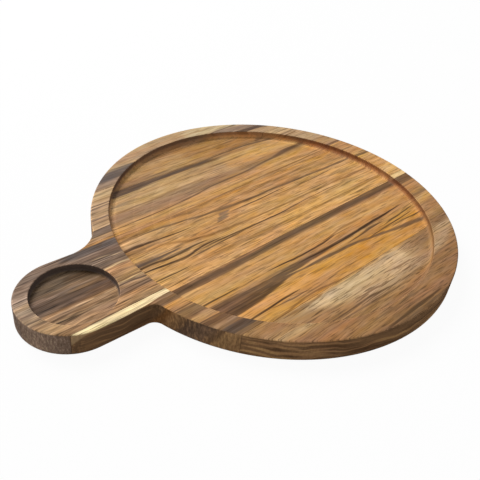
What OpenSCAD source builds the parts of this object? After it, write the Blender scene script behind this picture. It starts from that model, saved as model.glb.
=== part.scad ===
// Round serving board with a handle, made of edge-glued hardwood staves.
// The origin is at the middle of the plate on the underside, +Z is up and the handle points along -X.
// The grain, and so every glue line, runs along X but for a small turn.

/* [Plate] */
// Diameter of the round plate
plate_d = 305; // [280:1:340]
// Thickness of the finished panel
thickness = 18.5; // [16:0.5:24]

/* [Handle] */
// How far the handle stands out of the plate
handle_l = 76; // [65:1:110]
// Width of the handle, whose end is a half circle
handle_w = 77; // [70:0.5:100]
// Radius of the inside corner between handle and plate on the near side
neck_near_r = 8; // [6:0.5:25]
// Radius of the inside corner between handle and plate on the far side
neck_far_r = 32; // [15:0.5:40]

/* [Well] */
// Diameter of the well in the plate
well_d = 271.5; // [220:0.5:275]
// Depth of the well below the rim
well_depth = 6.5; // [4:0.5:9]
// Radius of the cove round the well's floor
well_cove = 3; // [1:0.5:4]
// How far the well's middle lies from the plate's middle, along X
well_shift_x = -1.8; // [-4:0.1:4]
// How far the well's middle lies from the plate's middle, along Y
well_shift_y = 2; // [-4:0.1:4]

/* [Recess] */
// Diameter of the recess in the handle
recess_d = 60.5; // [45:0.5:62]
// Depth of the recess below the handle's face
recess_depth = 5.5; // [4:0.5:9]
// Radius of the cove round the recess floor
recess_cove = 1.5; // [0.5:0.5:3.5]
// How far the recess lies from the middle of the handle's round end, towards the plate
recess_shift = 2.4; // [0:0.1:4]

/* [Edges] */
// Radius of the round along the top outer edge
top_round = 1.2; // [0.5:0.1:3]
// Radius of the round along the bottom outer edge
bottom_round = 2; // [0.5:0.1:4]
// Radius of the round along the mouths of the well and the recess
mouth_round = 0.8; // [0.4:0.1:2]

/* [Staves] */
// Turn of the grain away from the handle's own direction, in degrees
grain_turn = 2.7; // [0:0.1:4]
// How far the near stave reaches into the handle's round end, across the grain
handle_lap = 5.8; // [5:0.1:10]
// Width of the stave on the near side of the centre one
near_w = 66; // [50:0.5:75]
// Width of the stave on the far side of the centre one
far_w = 56.5; // [45:0.5:70]
// Least wood of the centre stave left beyond the handle's far side
handle_margin = 0.5; // [0.5:0.1:3]
// Thickness of a cured glue line
glue_t = 0.2; // [0.1:0.05:0.4]

/* [Hidden] */
$fn = 180;

// Plate and handle in plan
plate_r = plate_d / 2;
handle_r = handle_w / 2;
handle_x = -(plate_r + handle_l - handle_r);

// Middle of a neck arc of radius r, which runs into the plate's circle and the handle's straight side
function neck_y(r) = handle_r + r;
function neck_x(r) = -sqrt(pow(plate_r + r, 2) - pow(neck_y(r), 2));

// How far the neck's faces dip into the plate and the handle where they meet them
neck_lap = 0.1;

// Flats along each quarter round of an edge
arc_steps = 4;

// Middle of the handle's round end and the glue lines, as distances from the plate's middle across the grain
handle_v = -handle_x * sin(grain_turn);
far_line = handle_v + handle_r + handle_margin;
near_line = handle_v - handle_r + handle_lap;
near_edge_line = near_line - near_w;
far_edge_line = far_line + far_w;

// Cutting solids run past the panel by this much, and slabs by more than its reach
over = 2;
slab_l = 4 * (plate_d + handle_l);

// Wood and glue as they look from a step away
tan_wood = "#a98357";
honey_wood = "#b5813f";
brown_wood = "#9a6f45";
orange_wood = "#b07a43";
pale_wood = "#b28d5a";
glue_brown = "#4a3018";

// Points of a round of radius r about [x, y], from one angle to another
function arc(x, y, r, from, to) = [
    for (i = [0 : arc_steps])
        let (turn = from + (to - from) * i / arc_steps)
        [x + r * cos(turn), y + r * sin(turn)]
];

// Half of the panel's section, from its middle out to an edge at distance r, with both edges eased
function half_section(r) = concat(
    [[0, 0]],
    arc(r - bottom_round, bottom_round, bottom_round, -90, 0),
    arc(r - top_round, thickness - top_round, top_round, 0, 90),
    [[0, thickness]]
);

// Section of the waste that leaves an inside corner of radius r with both edges eased
function corner_waste(r) = concat(
    [[0, -over], [r + bottom_round, -over]],
    arc(r + bottom_round, bottom_round, bottom_round, 270, 180),
    arc(r + top_round, thickness - top_round, top_round, 180, 90),
    [[r + top_round, thickness + over], [0, thickness + over]]
);

// Section of a round hollow with a coved floor and an eased mouth, its mouth at height zero
function hollow_waste(r, depth, cove) = concat(
    [[0, -depth]],
    arc(r - cove, cove - depth, cove, -90, 0),
    arc(r + mouth_round, -mouth_round, mouth_round, 180, 90),
    [[r + mouth_round, over], [0, over]]
);

module plate() {
    rotate_extrude()
        polygon(half_section(plate_r));
}

// A straight bar into the plate and a half-round end
module handle() {
    translate([handle_x, 0, 0]) {
        rotate_extrude(start = 90, angle = 180)
            polygon(half_section(handle_r));
        for (side = [0, 1])
            mirror([0, side, 0])
                rotate([90, 0, 90])
                    linear_extrude(-handle_x)
                        polygon(half_section(handle_r));
    }
}

// Fills the far inside corner between the plate and the handle, out to a neck arc of radius r
module neck(r) {
    difference() {
        linear_extrude(thickness)
            polygon([[0, 0], [neck_x(r), neck_y(r)], [neck_x(r), 0]]);
        translate([neck_x(r), neck_y(r), 0])
            rotate_extrude()
                polygon(corner_waste(r + neck_lap));
    }
}

module hollow(d, depth, cove) {
    rotate_extrude()
        polygon(hollow_waste(d / 2, depth, cove));
}

// The whole panel, cut to shape and routed
module panel() {
    difference() {
        union() {
            plate();
            handle();
            neck(neck_far_r);
            mirror([0, 1, 0])
                neck(neck_near_r);
        }
        translate([well_shift_x, well_shift_y, thickness])
            hollow(well_d, well_depth, well_cove);
        translate([handle_x + recess_shift, 0, thickness])
            hollow(recess_d, recess_depth, recess_cove);
    }
}

// The part of the panel that lies between two distances across the grain
module strip(from, to) {
    intersection() {
        panel();
        rotate(grain_turn)
            translate([-slab_l / 2, from, -over])
                cube([slab_l, to - from, thickness + 2 * over]);
    }
}

// A stave stops half a glue line short of each line that it meets
module stave(from, to) {
    strip(from + glue_t / 2, to - glue_t / 2);
}

// A cured glue line fills the gap between two staves
module glue_line(place) {
    strip(place - glue_t / 2, place + glue_t / 2);
}

module stave_near_edge() {
    color(tan_wood)
        stave(-slab_l / 2, near_edge_line);
}

module stave_near() {
    color(honey_wood)
        stave(near_edge_line, near_line);
}

module stave_centre() {
    color(brown_wood)
        stave(near_line, far_line);
}

module stave_far() {
    color(orange_wood)
        stave(far_line, far_edge_line);
}

module stave_far_edge() {
    color(pale_wood)
        stave(far_edge_line, slab_l / 2);
}

module glue_near_edge() {
    color(glue_brown)
        glue_line(near_edge_line);
}

module glue_near() {
    color(glue_brown)
        glue_line(near_line);
}

module glue_far() {
    color(glue_brown)
        glue_line(far_line);
}

module glue_far_edge() {
    color(glue_brown)
        glue_line(far_edge_line);
}

stave_near_edge();
stave_near();
stave_centre();
stave_far();
stave_far_edge();
glue_near_edge();
glue_near();
glue_far();
glue_far_edge();
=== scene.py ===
"""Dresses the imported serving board: oiled hardwood on each stave, cured glue, floor, light and camera."""
import math

import bpy
from mathutils import Matrix, Vector

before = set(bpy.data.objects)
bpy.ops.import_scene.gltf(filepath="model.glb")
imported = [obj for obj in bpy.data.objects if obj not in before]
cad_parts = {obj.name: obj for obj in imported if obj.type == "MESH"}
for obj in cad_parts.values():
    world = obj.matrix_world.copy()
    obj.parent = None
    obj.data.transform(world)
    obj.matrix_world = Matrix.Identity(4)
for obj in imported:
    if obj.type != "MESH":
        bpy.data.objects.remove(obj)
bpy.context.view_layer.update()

# The board's own measures, in millimetres, as the solids have them
MM = 0.001
THICKNESS = 18.5
WELL_DEPTH = 6.5
WELL_RADIUS = 135.75
WELL_MIDDLE = (-1.8, 2.0)
RECESS_DEPTH = 5.5
RECESS_RADIUS = 30.25
RECESS_MIDDLE = (-187.6, 0.0)

# The figure turns this far from the handle's direction, a little less than the glue lines do
FIGURE_TURN = math.radians(2.3)

# Curves of the figure run over this much of the board across the grain, in millimetres
ACROSS_LOW = -160.0
ACROSS_SPAN = 320.0

# A streak fades over this share of its length at each end, and a soft one over more
FADE_LEAST = 0.05
FADE_SOFT = 0.25

# How far fibres fray the edge of a thin streak, and the width in millimetres at which that has halved
FRAY = 3.0
FRAY_WIDTH = 3.0

# Each streak takes this tiny share of the colour below it, so that the renderer works streaks out in turn and
# holds few values at once
WAIT = 1e-6

# Noises of the wood: lengths of a grain along, across and up in millimetres, then detail and roughness
WAVE = ((70.0, 22.0, 22.0), 1.0)
RIPPLE = ((16.0, 5.0, 5.0), 1.0)
FIBRE = ((60.0, 2.2, 2.2), 3.0, 0.65)
HAIR = ((17.0, 1.1, 1.1), 1.0, 0.6)
BROAD = ((140.0, 6.0, 6.0), 2.0)
PATCH = ((60.0, 12.0, 12.0), 1.0)
CONTOUR = ((110.0, 4.2, 4.2), 2.0)
VESSEL = ((45.0, 3.0, 3.0), 2.0)
PORE = ((14.0, 0.75, 0.75), 1.0)
WORM = ((18.0, 18.0, 30.0), 1.0)
SPECKLE = ((1.3, 1.3, 3.2), 1.0)
EDGE_DETAIL = (3.0, 0.6)

# How far waves, ripples and worming edges shift the wood, in millimetres, and the pace of noises with depth
WAVE_REACH = 1.6
RIPPLE_REACH = 0.9
WORM_REACH = 6.0
DEPTH_PACE = 0.3

# Each range below is a pair: a share is none at its first value and full at its second
VESSEL_LINE = (0.045, 0.0)
VESSEL_RUN = (-0.12, 0.12)
PORE_RANGE = (0.08, 0.14)

# A streak is weaker on dark hairs by this much, and hue and saturation drift over the wood by these
HAIR_GRIP = 1.2
HUE_DRIFT = 0.03
SATURATION_DRIFT = 0.25

# The hue setting that leaves a colour's hue as it is
HUE_KEPT = 0.5

# Grain is livelier on the handle, whose range along the grain is in millimetres
HANDLE_RANGE = (-100.0, -140.0)
HANDLE_LIVELY = 1.1

# A hollow's faces reach this far out of its radius and below its floor, in millimetres, and the figure of its
# floor starts at these shares of its depth
HOLLOW_OUT = (1.5, 0.5)
HOLLOW_BELOW = (4.0, 1.5)
FLOOR_START = (0.35, 0.8)

# Router passes in the well: pitch, wander and range along the grain in millimetres, then painted light and
# shade on their steps, relief, and a painted highlight on their ridges
ROUTER_PITCH = 14.5
ROUTER_WANDER = 4.0
ROUTER_RANGE = (60.0, -60.0)
PASS_PAINTED_SHADING = 0.08
PASS_RELIEF = 1.2
RIDGE_RANGE = (0.42, 0.5)
RIDGE_HAIR = (-0.1, 0.15)
RIDGE_PAINTED_HIGHLIGHT = 0.14

# What counts as a side, by how far it faces up, and as end grain, by how far it faces along the grain
SIDE_RANGE = (0.8, 0.2)
END_RANGE = (0.15, 0.75)

# Rings on the panel's outer edges, and painted light that makes the edge paler towards the underside, by
# depth in millimetres
RING_RANGE = (0.05, 0.0)
RING_DARK = 0.22
RING_CONTRAST = 1.7
RING_PATCH = 0.5
UNDERSIDE_LIGHT_RANGE = (9.0, 17.0)
UNDERSIDE_PAINTED_LIGHT = 0.2

# Walls of the hollows: share of grey brown, partly painted shade, its change along the grain to a darker grey
# at the recess end, and the far wall's foot, painted lighter and less grey as painted light, by depth, by
# place across the grain and by distance from the well's edge, in millimetres
GREY_SHADE_RANGE = (-150.0, -70.0)
GREY_SHADE_SHARE = 0.85
FOOT_DEPTH = (2.5, 5.8)
FOOT_ACROSS = (30.0, 80.0)
FOOT_IN = (7.0, 3.0)
FOOT_PAINTED_UNGREY = 0.65
FOOT_PAINTED_LIGHT = 0.5

# The well's right wall, which is red brown and partly painted light, with lighter tones far across the grain:
# places along and across the grain, then painted light, more of it far across the grain, and painted shade at
# the wall's top, by depth
RED_RANGE = (20.0, 60.0)
RED_SHARE = 0.55
ROSE_ACROSS = (-70.0, 20.0)
GINGER_OUT = (60.0, 100.0)
RED_PAINTED_LIGHT = 0.92
RED_FAR = (80.0, 120.0)
RED_FAR_PAINTED_LIGHT = 0.5
RED_TOP = (5.0, 1.5)
RED_TOP_PAINTED_SHADE = 0.3

# The cove takes the wall's colour, with its painted shade and light, and eased top edges get a painted
# highlight, but not far to the right along the grain
COVE_DEPTH = (1.0, 2.5)
COVE_FACING = (0.98, 0.6)
COVE_SHARE = 0.8
EASED_LOW = (0.3, 0.6)
EASED_HIGH = (0.99, 0.9)
EASED_DEPTH = (2.0, 1.0)
EASED_ALONG = (80.0, 0.0)
EASED_PAINTED_HIGHLIGHT = 0.28

# Oiled surface: roughness of the faces, of fibres and of sides, reflection, and relief
ROUGHNESS = 0.55
ROUGHNESS_FIBRE = 0.4
ROUGHNESS_SIDE = 0.3
SPECULAR = 0.05
SPECULAR_SIDE = 0.03
PORE_RELIEF = 0.7
FIBRE_RELIEF = 0.8
BUMP_STRENGTH = 0.4
BUMP_HEIGHT = 0.12

# Cured glue: its noise, the span of its bands, roughness and relief
GLUE_NOISE = ((9.0, 9.0, 3.0), 3.0, 0.6)
GLUE_SPAN = 0.25
GLUE_ROUGHNESS = 0.65
GLUE_UNEVEN = 0.25
GLUE_BUMP_STRENGTH = 0.2
GLUE_BUMP_HEIGHT = 0.05

# Tones of the wood, from sapwood to the darkest veins
TONES = {
    "cream": "f8dfaa",
    "butter": "edc98d",
    "oat": "dcbb90",
    "straw": "c8b38b",
    "biscuit": "bd9b76",
    "sand": "c9a87d",
    "wheat": "be996a",
    "gold": "d7a366",
    "honey": "cd9c62",
    "apricot": "c59666",
    "orange": "c38e54",
    "amber": "cf9650",
    "rose": "bc7a56",
    "ginger": "bb8b5a",
    "caramel": "b68e5e",
    "tan": "ab8257",
    "fawn": "aa8665",
    "taupe": "a28876",
    "toffee": "a0743f",
    "russet": "a06c38",
    "clay": "9e7550",
    "brick": "9c6040",
    "dove": "937b69",
    "copper": "8b6237",
    "drab": "8a6848",
    "mauve": "7c6758",
    "moss": "7d6a52",
    "umber": "7a5c40",
    "smoke": "776050",
    "walnut": "70553d",
    "peat": "6e5b48",
    "slate": "665a54",
    "mud": "604d40",
    "bark": "5c442e",
    "cocoa": "4e3826",
    "ink": "442f1e",
}

# Bands of the panel's edges, from the darkest rings to the palest, for warm, brown and grey wood
EDGE_SPAN = 0.3
WARM_EDGE = [(-EDGE_SPAN, "cocoa"), (-0.1, "umber"), (0.04, "drab"), (0.16, "clay"), (EDGE_SPAN, "caramel")]
BROWN_EDGE = [(-EDGE_SPAN, "ink"), (-0.1, "walnut"), (0.04, "umber"), (0.16, "drab"), (EDGE_SPAN, "tan")]
GREY_EDGE = [(-EDGE_SPAN, "bark"), (-0.1, "smoke"), (0.04, "dove"), (0.16, "taupe"), (EDGE_SPAN, "straw")]

# Value of the figure where it shows on the panel's edges, and the share of oiled brown over it
EDGE_DARK = 0.9
EDGE_OIL = 0.45


def tone(name):
    """A named tone as linear RGBA, by the sRGB curve."""
    code = TONES[name]
    parts = [int(code[i:i + 2], 16) / 255 for i in (0, 2, 4)]
    return [p / 12.92 if p <= 0.04045 else ((p + 0.055) / 1.055) ** 2.4 for p in parts] + [1.0]


class Graph:
    """A material's or world's node tree, with short calls that add nodes and return output sockets."""

    def __init__(self, owner):
        self.owner = owner
        owner.use_nodes = True
        self.tree = owner.node_tree
        self.tree.nodes.clear()

    def node(self, kind, inputs, **settings):
        """Adds a node with these settings. inputs are values or sockets, by the input's name or number."""
        made = self.tree.nodes.new(kind)
        for key, value in settings.items():
            setattr(made, key, value)
        for key, value in inputs.items():
            if isinstance(value, bpy.types.NodeSocket):
                self.tree.links.new(value, made.inputs[key])
            else:
                made.inputs[key].default_value = value
        return made

    def math(self, operation, *values):
        return self.node("ShaderNodeMath", dict(enumerate(values)), operation=operation).outputs[0]

    def times(self, first, *others):
        """The product of the values."""
        product = first
        for value in others:
            product = self.math("MULTIPLY", product, value)
        return product

    def linear(self, value, slope, start):
        """start plus slope times value."""
        return self.math("MULTIPLY_ADD", value, slope, start)

    def absolute(self, value):
        return self.math("ABSOLUTE", value)

    def vector(self, operation, *values):
        made = self.node("ShaderNodeVectorMath", dict(enumerate(values)), operation=operation)
        return made.outputs["Value" if operation in {"DISTANCE", "DOT_PRODUCT"} else "Vector"]

    def place(self):
        """Places in the board's frame, in metres."""
        return self.node("ShaderNodeTexCoord", {}).outputs["Object"]

    def millimetres(self, metres):
        made = self.node("ShaderNodeVectorMath", {0: metres, "Scale": 1 / MM}, operation="SCALE")
        return made.outputs["Vector"]

    def combined(self, **parts):
        """A vector with these parts, X, Y and Z, where one that isn't given is zero."""
        return self.node("ShaderNodeCombineXYZ", parts).outputs["Vector"]

    def step(self, value, low, high, kind="SMOOTHSTEP"):
        """0 where value is at low and 1 where it is at high; a smooth step keeps to that range outside."""
        inputs = {"Value": value, "From Min": low, "From Max": high}
        return self.node("ShaderNodeMapRange", inputs, interpolation_type=kind, clamp=False).outputs["Result"]

    def mix(self, share, first, second):
        """A mix of two colours. The node's inputs 6 and 7 and its output 2 are its colour ones."""
        inputs = {0: share, 6: first, 7: second}
        return self.node("ShaderNodeMix", inputs, data_type="RGBA", clamp_factor=True).outputs[2]

    def noise(self, place, lengths, detail, roughness=0.5):
        """Noise about zero whose grains have these lengths along, across and up."""
        scaled = self.vector("DIVIDE", place, lengths)
        inputs = {"Vector": scaled, "Scale": 1.0, "Detail": detail, "Roughness": roughness}
        made = self.node("ShaderNodeTexNoise", inputs, noise_dimensions="3D")
        return self.math("SUBTRACT", made.outputs[0], 0.5)

    def bands(self, value, low, high, stops):
        """Colour bands: stops are (value, tone) from low to high."""
        made = self.node("ShaderNodeValToRGB", {0: self.step(value, low, high, "LINEAR")})
        elements = made.color_ramp.elements
        while len(elements) < len(stops):
            elements.new(1.0)
        for element, (at, name) in zip(elements, sorted(stops)):
            element.position = (at - low) / (high - low)
            element.color = tone(name)
        return made.outputs["Color"]

    def varied(self, colour, value, hue=HUE_KEPT, saturation=1.0):
        """The colour made brighter or darker by value, and shifted in hue and saturation."""
        inputs = {"Hue": hue, "Saturation": saturation, "Value": value, "Color": colour}
        return self.node("ShaderNodeHueSaturation", inputs).outputs["Color"]

    def ended(self, shader, kind="Material"):
        """The material or world, with this shader as its surface."""
        self.node("ShaderNodeOutput" + kind, {"Surface": shader.outputs[0]})
        return self.owner

    def surface(self, colour, roughness, specular, height, strength, distance):
        """The material with a plain surface and fine relief, whose distance is in millimetres."""
        relief = {"Strength": strength, "Distance": distance * MM, "Height": height}
        bump = self.node("ShaderNodeBump", relief)
        return self.ended(self.node("ShaderNodeBsdfPrincipled", {
            "Base Color": colour,
            "Roughness": roughness,
            "Specular IOR Level": specular,
            "Normal": bump.outputs["Normal"],
        }))


def bend(curve, points):
    """Gives one curve of a curve node these (place, value) points."""
    while len(curve.points) < len(points):
        curve.points.new(1.0, 1.0)
    for point, place in zip(curve.points, points):
        point.location = place
        point.handle_type = "AUTO_CLAMPED"


def streak(g, wood, across, colour, line):
    """Lays one streak of the figure over a colour.

    line is a tone, strength, softness and points, each of them (along, across, half width) in millimetres.
    """
    name, strength, softness, *points = line
    first = points[0][0]
    length = points[-1][0] - first
    fade_share = FADE_LEAST + FADE_SOFT * softness
    mean_width = sum(w for u, v, w in points) / len(points)
    fray = FRAY / (1 + mean_width / FRAY_WIDTH)
    below = g.node("ShaderNodeRGBToBW", {"Color": colour})
    along = g.linear(below.outputs["Val"], WAIT, wood["along"])
    run = g.linear(along, 1 / length, -first / length)
    runs = g.node("ShaderNodeCombineColor", {0: run, 1: run, 2: run})
    curves = g.node("ShaderNodeRGBCurve", {"Color": runs.outputs["Color"]})
    curves.mapping.extend = "HORIZONTAL"
    middle, width, fade = list(curves.mapping.curves)[:3]
    bend(middle, [((u - first) / length, (v - ACROSS_LOW) / ACROSS_SPAN) for u, v, w in points])
    bend(width, [((u - first) / length, w / ACROSS_SPAN) for u, v, w in points])
    bend(fade, [(0, 0), (fade_share, 1), (1 - fade_share, 1), (1, 0)])
    curves.mapping.update()
    split = g.node("ShaderNodeSeparateColor", {0: curves.outputs["Color"]})
    off = g.absolute(g.math("SUBTRACT", across, split.outputs[0]))
    frayed = g.linear(wood["fibre"], fray, g.math("DIVIDE", off, split.outputs[1]))
    inside = g.times(g.step(frayed, 1 + softness, 1 - softness), split.outputs[2])
    share = g.times(inside, g.times(wood["grip"], strength))
    return g.mix(share, colour, tone(name))


def layer(g, wood, stave, level, rise):
    """The stave's figure at one level, which lies at the depth rise: bands across the grain, then streaks."""
    drift = g.times(g.math("SUBTRACT", wood["depth"], rise), stave["lean"])
    across = g.math("ADD", wood["bent_across"], drift)
    colour = g.bands(across, *stave["reach"], stave[level])
    scaled = g.step(across, ACROSS_LOW, ACROSS_LOW + ACROSS_SPAN, "LINEAR")
    for line in stave.get(level + "_lines", []):
        colour = streak(g, wood, scaled, colour, line)
    return colour


def hollow_share(g, wood, middle, radius, depth):
    """Shares of a round hollow's floor and of all its faces, and the distance from its middle."""
    flat = g.vector("MULTIPLY", wood["frame_mm"], (1.0, 1.0, 0.0))
    reach = g.vector("DISTANCE", flat, (*middle, 0.0))
    inside = g.step(reach, *(radius + out for out in HOLLOW_OUT))
    sunk = g.step(wood["depth"], *(share * depth for share in FLOOR_START))
    above = g.step(wood["depth"], *(depth + below for below in HOLLOW_BELOW))
    inside = g.times(inside, above)
    return g.times(inside, sunk), inside, reach


def wood_places(g, stave):
    """Places in a stave and the noises of its wood, by name."""
    metres = g.place()
    inputs = {"Vector": metres, "Rotation": (0.0, 0.0, -FIGURE_TURN), "Scale": (1 / MM,) * 3}
    turned = g.node("ShaderNodeMapping", inputs, vector_type="POINT")
    split = g.node("ShaderNodeSeparateXYZ", {0: turned.outputs["Vector"]})
    along = split.outputs["X"]
    across = split.outputs["Y"]
    depth = g.math("SUBTRACT", THICKNESS, split.outputs["Z"])

    # Fibres lie along the grain and in rings that lean with depth, so they also line the panel's edges
    straight = g.combined(
        X=g.math("ADD", along, stave["seed"]),
        Y=g.linear(depth, stave["lean"], across),
        Z=g.times(depth, DEPTH_PACE),
    )

    # Slow waves bend the figure and short ones ripple it
    wave = g.noise(straight, *WAVE)
    ripple = g.noise(straight, *RIPPLE)
    waves = g.math("ADD", g.times(wave, WAVE_REACH), g.times(ripple, RIPPLE_REACH))
    place = g.vector("ADD", straight, g.combined(Y=waves))
    fibre = g.noise(place, *FIBRE)
    hair = g.noise(place, *HAIR)
    broad = g.noise(place, *BROAD)
    patch = g.noise(place, *PATCH)

    # Thin lines follow the rings where a slow noise passes through zero
    contour = g.absolute(g.noise(place, *CONTOUR))
    vessel = g.times(g.step(contour, *VESSEL_LINE), g.step(g.noise(place, *VESSEL), *VESSEL_RUN))
    return dict(
        frame_mm=g.millimetres(metres),
        along=along,
        across=across,
        bent_across=g.math("ADD", across, waves),
        depth=depth,
        place=place,
        wave=wave,
        ripple=ripple,
        fibre=fibre,
        hair=hair,
        broad=broad,
        patch=patch,
        vessel=vessel,
        grip=g.math("MINIMUM", g.linear(hair, HAIR_GRIP, 1.0), 1.0),
    )


def figure(g, wood, stave):
    """Colour of the stave's face and of the floors of its hollows. Adds the hollows' shares to wood."""
    colour = layer(g, wood, stave, "face", 0.0)
    floor, hollow, from_middle = hollow_share(g, wood, WELL_MIDDLE, WELL_RADIUS, WELL_DEPTH)
    colour = g.mix(floor, colour, layer(g, wood, stave, "floor", WELL_DEPTH))
    if "recess" in stave:
        cup, recess, _ = hollow_share(g, wood, RECESS_MIDDLE, RECESS_RADIUS, RECESS_DEPTH)
        colour = g.mix(cup, colour, layer(g, wood, stave, "recess", RECESS_DEPTH))
        hollow = g.math("MAXIMUM", hollow, recess)
    wood.update(floor=floor, hollow=hollow, from_middle=from_middle)
    return colour


def grained(g, wood, stave, colour):
    """The colour with grain lines, router passes with painted light and shade, and pores. Adds passes and
    pores to wood.
    """
    # Grain lines lighten and darken the figure, and most on the handle
    lively = g.linear(g.step(wood["along"], *HANDLE_RANGE), HANDLE_LIVELY, 1.0)
    light = g.times(wood["broad"], stave["broad"])
    light = g.linear(wood["fibre"], stave["fine"], light)
    light = g.linear(wood["hair"], stave["hair"], light)
    light = g.linear(light, lively, 1.0)

    # Router passes leave faint steps on the well's floor, in relief, with painted light and shade on the
    # steps and a painted highlight on their ridges
    pass_place = g.linear(wood["wave"], ROUTER_WANDER, wood["from_middle"])
    lap = g.math("SUBTRACT", g.math("FRACT", g.math("DIVIDE", pass_place, ROUTER_PITCH)), 0.5)
    passes = g.times(lap, wood["floor"], g.step(wood["along"], *ROUTER_RANGE))
    # Painted light and shade on the steps of the passes, and a painted highlight on their ridges
    light = g.linear(passes, PASS_PAINTED_SHADING, light)
    ridge = g.times(g.step(g.absolute(passes), *RIDGE_RANGE), g.step(wood["hair"], *RIDGE_HAIR))
    light = g.linear(ridge, RIDGE_PAINTED_HIGHLIGHT, light)
    light = g.linear(wood["vessel"], -stave["vessel"], light)
    hue = g.linear(wood["patch"], HUE_DRIFT, HUE_KEPT)
    saturation = g.linear(wood["ripple"], SATURATION_DRIFT, 1.0)
    colour = g.varied(colour, light, hue, saturation)

    # Pores are dark dashes along the grain
    pore = g.step(g.noise(wood["place"], *PORE), *PORE_RANGE)
    wood.update(passes=passes, pore=pore)
    return g.mix(g.times(pore, stave["pores"]), colour, tone("bark"))


def facings(g, wood):
    """Adds to wood how far a face looks up or down, and its shares as a side and as end grain."""
    normal = g.node("ShaderNodeNewGeometry", {}).outputs["Normal"]
    grain_axis = (math.cos(FIGURE_TURN), math.sin(FIGURE_TURN), 0.0)
    facing = g.absolute(g.vector("DOT_PRODUCT", normal, grain_axis))
    upright = g.absolute(g.vector("DOT_PRODUCT", normal, (0.0, 0.0, 1.0)))
    wood.update(upright=upright, side=g.step(upright, *SIDE_RANGE), end=g.step(facing, *END_RANGE))


def edge_colour(g, wood, stave, colour):
    """Colour of the panel's outer edges, which drink more oil: darker, ringed, and speckled on end grain,
    with painted light making them paler towards the underside.
    """
    wormy = g.times(g.noise(wood["frame_mm"], *WORM), WORM_REACH)
    edge_place = g.vector("ADD", wood["frame_mm"], g.combined(Z=wormy))
    on_edge = g.noise(edge_place, stave["edge_grain"], *EDGE_DETAIL)
    if "end_grain" in stave:
        on_end = g.noise(edge_place, stave["end_grain"], *EDGE_DETAIL)
        on_edge = g.linear(g.math("SUBTRACT", on_end, on_edge), wood["end"], on_edge)
    ring = g.step(g.absolute(on_edge), *RING_RANGE)
    rings = g.linear(ring, -RING_DARK, g.times(on_edge, RING_CONTRAST))
    rings = g.linear(wood["patch"], RING_PATCH, rings)
    edge = g.bands(rings, -EDGE_SPAN, EDGE_SPAN, stave["edge"])
    if "wall" in stave:
        oiled = layer(g, wood, stave, "wall", 0.0)
    else:
        oiled = g.mix(EDGE_OIL, g.varied(colour, EDGE_DARK), tone("drab"))
    edge = g.mix(stave["edge_share"], oiled, edge)
    speckle = g.noise(wood["frame_mm"], *SPECKLE)
    speckle_and_painted_light = g.linear(g.times(wood["end"], speckle), stave["speckle"], 1.0)
    # Painted light: the edge is paler towards the underside
    speckle_and_painted_light = g.linear(g.step(wood["depth"], *UNDERSIDE_LIGHT_RANGE), UNDERSIDE_PAINTED_LIGHT, speckle_and_painted_light)
    return g.varied(edge, speckle_and_painted_light)


def wall_colour(g, wood, colour, painted_lit_foot):
    """Colour of the walls of the hollows: grey brown, partly painted shade, with a painted lighter foot on
    the far wall, but red brown on the well's right side, partly painted light and painted darker at its top.
    """
    # Grey brown over the walls, darker grey at the recess end: partly painted shade. The far wall's foot
    # keeps more of its own colour, as painted light.
    grey_and_shade = g.mix(g.step(wood["along"], *GREY_SHADE_RANGE), tone("slate"), tone("smoke"))
    grey_and_shade = g.mix(g.linear(painted_lit_foot, -FOOT_PAINTED_UNGREY, GREY_SHADE_SHARE), colour, grey_and_shade)
    # Red brown on the well's right wall, partly its own colour and partly painted light: lighter tones far
    # across the grain
    red_and_painted_light = g.mix(g.step(wood["across"], *ROSE_ACROSS), tone("brick"), tone("rose"))
    red_and_painted_light = g.mix(g.step(g.absolute(wood["across"]), *GINGER_OUT), red_and_painted_light, tone("ginger"))
    red_and_painted_light = g.mix(RED_SHARE, colour, red_and_painted_light)
    # Painted light on the red wall, more far across the grain, and painted shade at its top
    painted_lit = g.linear(g.step(wood["across"], *RED_FAR), RED_FAR_PAINTED_LIGHT, RED_PAINTED_LIGHT)
    red_and_painted_light = g.varied(red_and_painted_light, g.linear(g.step(wood["depth"], *RED_TOP), -RED_TOP_PAINTED_SHADE, painted_lit))
    return g.mix(g.step(wood["along"], *RED_RANGE), grey_and_shade, red_and_painted_light)


def sided(g, wood, stave, colour):
    """The colour with the panel's edges, the walls and coves of the hollows, a painted highlight on eased
    edges and painted light on the far wall's foot laid over it.
    """
    depth = wood["depth"]
    upright = wood["upright"]
    hollow = wood["hollow"]
    edge = edge_colour(g, wood, stave, colour)
    # The far wall's foot, low on the wall and far across the grain, is painted lighter: painted light
    painted_lit_foot = g.times(g.step(depth, *FOOT_DEPTH), g.step(wood["across"], *FOOT_ACROSS))
    wall = wall_colour(g, wood, colour, painted_lit_foot)
    cove = g.times(hollow, g.step(depth, *COVE_DEPTH), g.step(upright, *COVE_FACING))
    # Painted highlight on eased top edges, but not far to the right along the grain
    highlight_share = g.times(g.step(upright, *EASED_LOW), g.step(upright, *EASED_HIGH))
    highlight_share = g.times(highlight_share, g.times(g.step(depth, *EASED_DEPTH), g.step(wood["along"], *EASED_ALONG)))
    colour = g.mix(g.times(cove, COVE_SHARE), colour, wall)
    colour = g.mix(wood["side"], colour, g.mix(hollow, edge, wall))
    # Painted light on the far wall's foot, near the well's edge
    near_edge = g.step(wood["from_middle"], *(WELL_RADIUS - inward for inward in FOOT_IN))
    foot_painted_light = g.times(painted_lit_foot, hollow, near_edge)
    # Painted highlight on eased edges and painted light on the far wall's foot
    return g.varied(colour, g.linear(highlight_share, EASED_PAINTED_HIGHLIGHT, g.linear(foot_painted_light, FOOT_PAINTED_LIGHT, 1.0)))


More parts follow.
